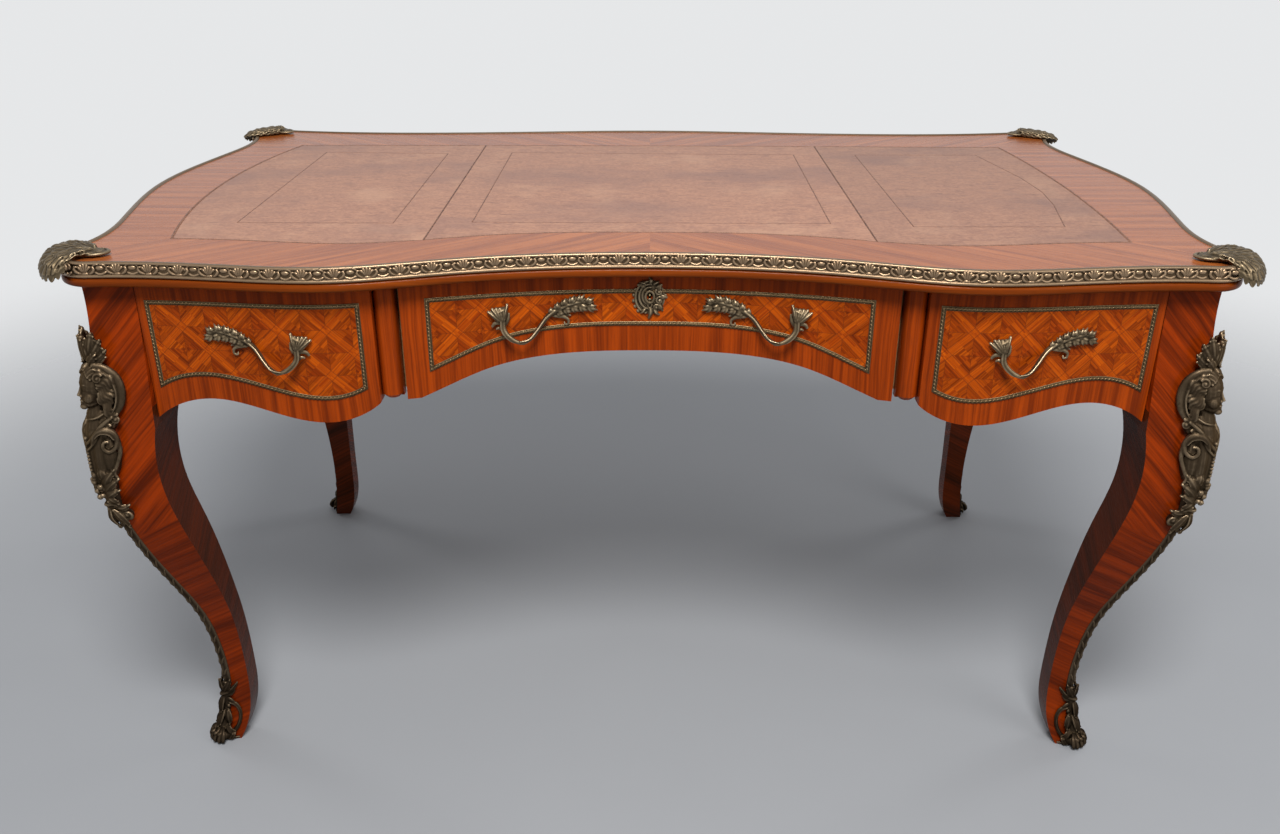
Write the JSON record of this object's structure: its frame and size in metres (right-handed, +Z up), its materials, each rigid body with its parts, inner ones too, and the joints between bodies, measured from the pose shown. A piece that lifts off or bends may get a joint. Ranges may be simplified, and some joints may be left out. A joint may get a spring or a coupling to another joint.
{
  "type": "serpentine writing desk",
  "caption": "Serpentine leather-topped writing desk on cabriole legs, with drawers under the top, a lock in the middle one and cast bronze mounts.",
  "frame": {"origin": "on the floor under the middle of the overall box", "axes": "+X along the width to the right seen from the front, +Y towards the back, +Z up"},
  "size_m": [1.5, 0.8788, 0.786],
  "materials": {
    "leg_veneer": "French-polished tulipwood veneer, satin gloss",
    "frieze_veneer": "French-polished crossbanded veneer with a lattice parquetry field",
    "border_veneer": "polished crossbanded veneer border",
    "lip_wood": "polished orange-brown solid moulding",
    "inner_oak": "plain unpolished secondary wood",
    "tooled_leather": "worn tan leather with blind tooled borders",
    "aged_bronze": "dark aged gilt-bronze casting with rubbed highlights",
    "lock_brass": "dull brass",
    "screw_steel": "dull steel"
  },
  "bodies": {
    "carcass": {"back_apron": "frieze_veneer", "bust_mount_back_left": "aged_bronze", "bust_mount_back_right": "aged_bronze", "bust_mount_front_left": "aged_bronze", "bust_mount_front_right": "aged_bronze", "corner_mount_back_left": "aged_bronze", "corner_mount_back_right": "aged_bronze", "corner_mount_front_left": "aged_bronze", "corner_mount_front_right": "aged_bronze", "drawer_runners": "inner_oak", "edge_brass_back": "aged_bronze", "edge_brass_ends": "aged_bronze", "edge_brass_front": "aged_bronze", "end_panel_left": "frieze_veneer", "end_panel_right": "frieze_veneer", "front_rail": "inner_oak", "leather_centre": "tooled_leather", "leather_left": "tooled_leather", "leather_right": "tooled_leather", "leg_back_left": "leg_veneer", "leg_back_right": "leg_veneer", "leg_edge_strips": "aged_bronze", "leg_front_left": "leg_veneer", "leg_front_right": "leg_veneer", "panel_trims": "aged_bronze", "partitions": "inner_oak", "sabot_back_left": "aged_bronze", "sabot_back_right": "aged_bronze", "sabot_front_left": "aged_bronze", "sabot_front_right": "aged_bronze", "top_banding": "border_veneer", "top_board": "lip_wood", "top_screws": "screw_steel"},
    "drawer_left": {"drawer_left_back": "inner_oak", "drawer_left_bottom": "inner_oak", "drawer_left_front": "frieze_veneer", "drawer_left_sides": "inner_oak", "drawer_left_trim": "aged_bronze", "handle_left": "aged_bronze", "handle_screws_left": "screw_steel", "pilaster_left": "leg_veneer"},
    "drawer_centre": {"drawer_centre_back": "inner_oak", "drawer_centre_bottom": "inner_oak", "drawer_centre_front": "frieze_veneer", "drawer_centre_sides": "inner_oak", "drawer_centre_trim": "aged_bronze", "escutcheon": "aged_bronze", "handle_centre_left": "aged_bronze", "handle_centre_right": "aged_bronze", "handle_screws_centre": "screw_steel", "lock_case": "lock_brass"},
    "drawer_right": {"drawer_right_back": "inner_oak", "drawer_right_bottom": "inner_oak", "drawer_right_front": "frieze_veneer", "drawer_right_sides": "inner_oak", "drawer_right_trim": "aged_bronze", "handle_right": "aged_bronze", "handle_screws_right": "screw_steel", "pilaster_right": "leg_veneer"},
    "lock_bolt": {"lock_bolt": "lock_brass"}
  },
  "joints": [
    {"name": "drawer_left_slide", "type": "slide", "parent": "carcass", "child": "drawer_left", "axis": [0, -1, 0], "range_m": [0, 0.38]},
    {"name": "drawer_centre_slide", "type": "slide", "parent": "carcass", "child": "drawer_centre", "axis": [0, -1, 0], "range_m": [0, 0.38]},
    {"name": "drawer_right_slide", "type": "slide", "parent": "carcass", "child": "drawer_right", "axis": [0, -1, 0], "range_m": [0, 0.38]},
    {"name": "lock_bolt_slide", "type": "slide", "parent": "drawer_centre", "child": "lock_bolt", "axis": [0, 0, 1], "range_m": [0, 0.009]}
  ]
}
